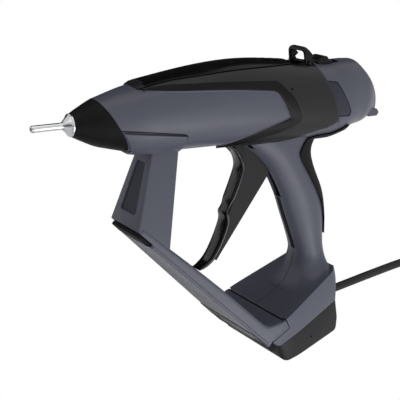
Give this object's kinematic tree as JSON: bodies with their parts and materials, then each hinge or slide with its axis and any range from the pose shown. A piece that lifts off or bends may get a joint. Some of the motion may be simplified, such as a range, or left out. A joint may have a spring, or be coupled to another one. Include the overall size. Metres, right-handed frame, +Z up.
{
  "type": "hot glue applicator",
  "caption": "Pistol-shaped hot glue gun with metal nozzle, trigger-driven stick feed, soft grip, hanging bail and thumb switch, resting nozzle-down on its own stand, with mains lead.",
  "frame": {"origin": "on the surface that the applicator stands on, at the middle of its length and width without the lead", "axes": "+X from the nozzle to the base of the grip, +Y across it, +Z up"},
  "size_m": [0.5498, 0.1218, 0.2321],
  "materials": {
    "housing": "slate grey moulded plastic, satin",
    "cover": "glossy black",
    "panel": "charcoal, fine satin grain",
    "inlay": "dark grey, matt",
    "heat_guard": "black heat-resistant plastic, matt",
    "nozzle": "turned and polished",
    "steel": "plain",
    "aluminium": "cast and machined",
    "brass": "plain",
    "insulation": "heat-resistant moulding",
    "silicone": "silicone",
    "trigger": "charcoal, satin",
    "soft": "soft black, matt",
    "base": "black, fine satin grain",
    "board": "green solder mask",
    "terminal": "green",
    "fittings": "black",
    "cord": "black sheath",
    "plug_metal": "nickel plated"
  },
  "bodies": {
    "gun": {"housing_left": "housing", "housing_right": "housing", "top_cover": "cover", "side_panel_left": "panel", "side_panel_right": "panel", "rear_cap": "housing", "cap_inlays": "inlay", "nose_cone": "heat_guard", "nozzle": "nozzle", "valve_ball": "steel", "valve_spring": "steel", "melt_chamber": "aluminium", "heater_cartridges": "steel", "temperature_sensor": "brass", "heat_shield": "steel", "front_spacer": "insulation", "rear_spacer": "insulation", "inlet_sleeve": "silicone", "stick_guide": "steel", "guide_bracket": "panel", "return_spring": "steel", "trigger_pin": "steel", "grip_pad": "soft", "grip_strip": "soft", "stand": "housing", "front_foot": "soft", "rear_feet": "soft", "base_cover": "base", "circuit_board": "board", "board_parts": "base", "terminal_block": "terminal", "heater_lead": "silicone", "switch_body": "base", "bail_pin": "steel", "housing_screws": "steel", "base_screws": "steel", "strain_relief": "cord", "cord": "cord", "cord_coil": "cord", "cord_tail": "cord", "coil_tie": "fittings", "plug": "cord", "plug_pins": "plug_metal"},
    "trigger": {"trigger": "trigger", "trigger_pad": "cover"},
    "carriage": {"feed_carriage": "brass", "jaw_pin": "steel"},
    "jaw": {"clamp_jaw": "steel"},
    "bail": {"hanging_bail": "fittings"},
    "slider": {"power_slider": "fittings"}
  },
  "joints": [
    {"name": "trigger_pull", "type": "hinge", "parent": "gun", "child": "trigger", "pos_m": [-0.00705, 0, 0.12256], "axis": [0, -1, 0], "range_deg": [0, 26], "stiffness_Nm_per_rad": 1.2, "springref_deg": -14.32},
    {"name": "carriage_slide", "type": "slide", "parent": "gun", "child": "carriage", "axis": [-0.7193, 0, -0.6947], "range_m": [0, 0.0113]},
    {"name": "jaw_tilt", "type": "hinge", "parent": "carriage", "child": "jaw", "pos_m": [-0.04089, 0, 0.14111], "axis": [0, 1, 0], "range_deg": [0, 8], "stiffness_Nm_per_rad": 0.05, "springref_deg": -11.46},
    {"name": "bail_fold", "type": "hinge", "parent": "gun", "child": "bail", "pos_m": [-0.01272, 0, 0.19465], "axis": [0, -1, 0], "range_deg": [-25, 62]},
    {"name": "slider_move", "type": "slide", "parent": "gun", "child": "slider", "axis": [0.7193, 0, 0.6947], "range_m": [0, 0.0065]}
  ],
  "couplings": [
    {"joint": "carriage_slide", "follows": "trigger_pull", "m_per_rad": 0.024421}
  ]
}
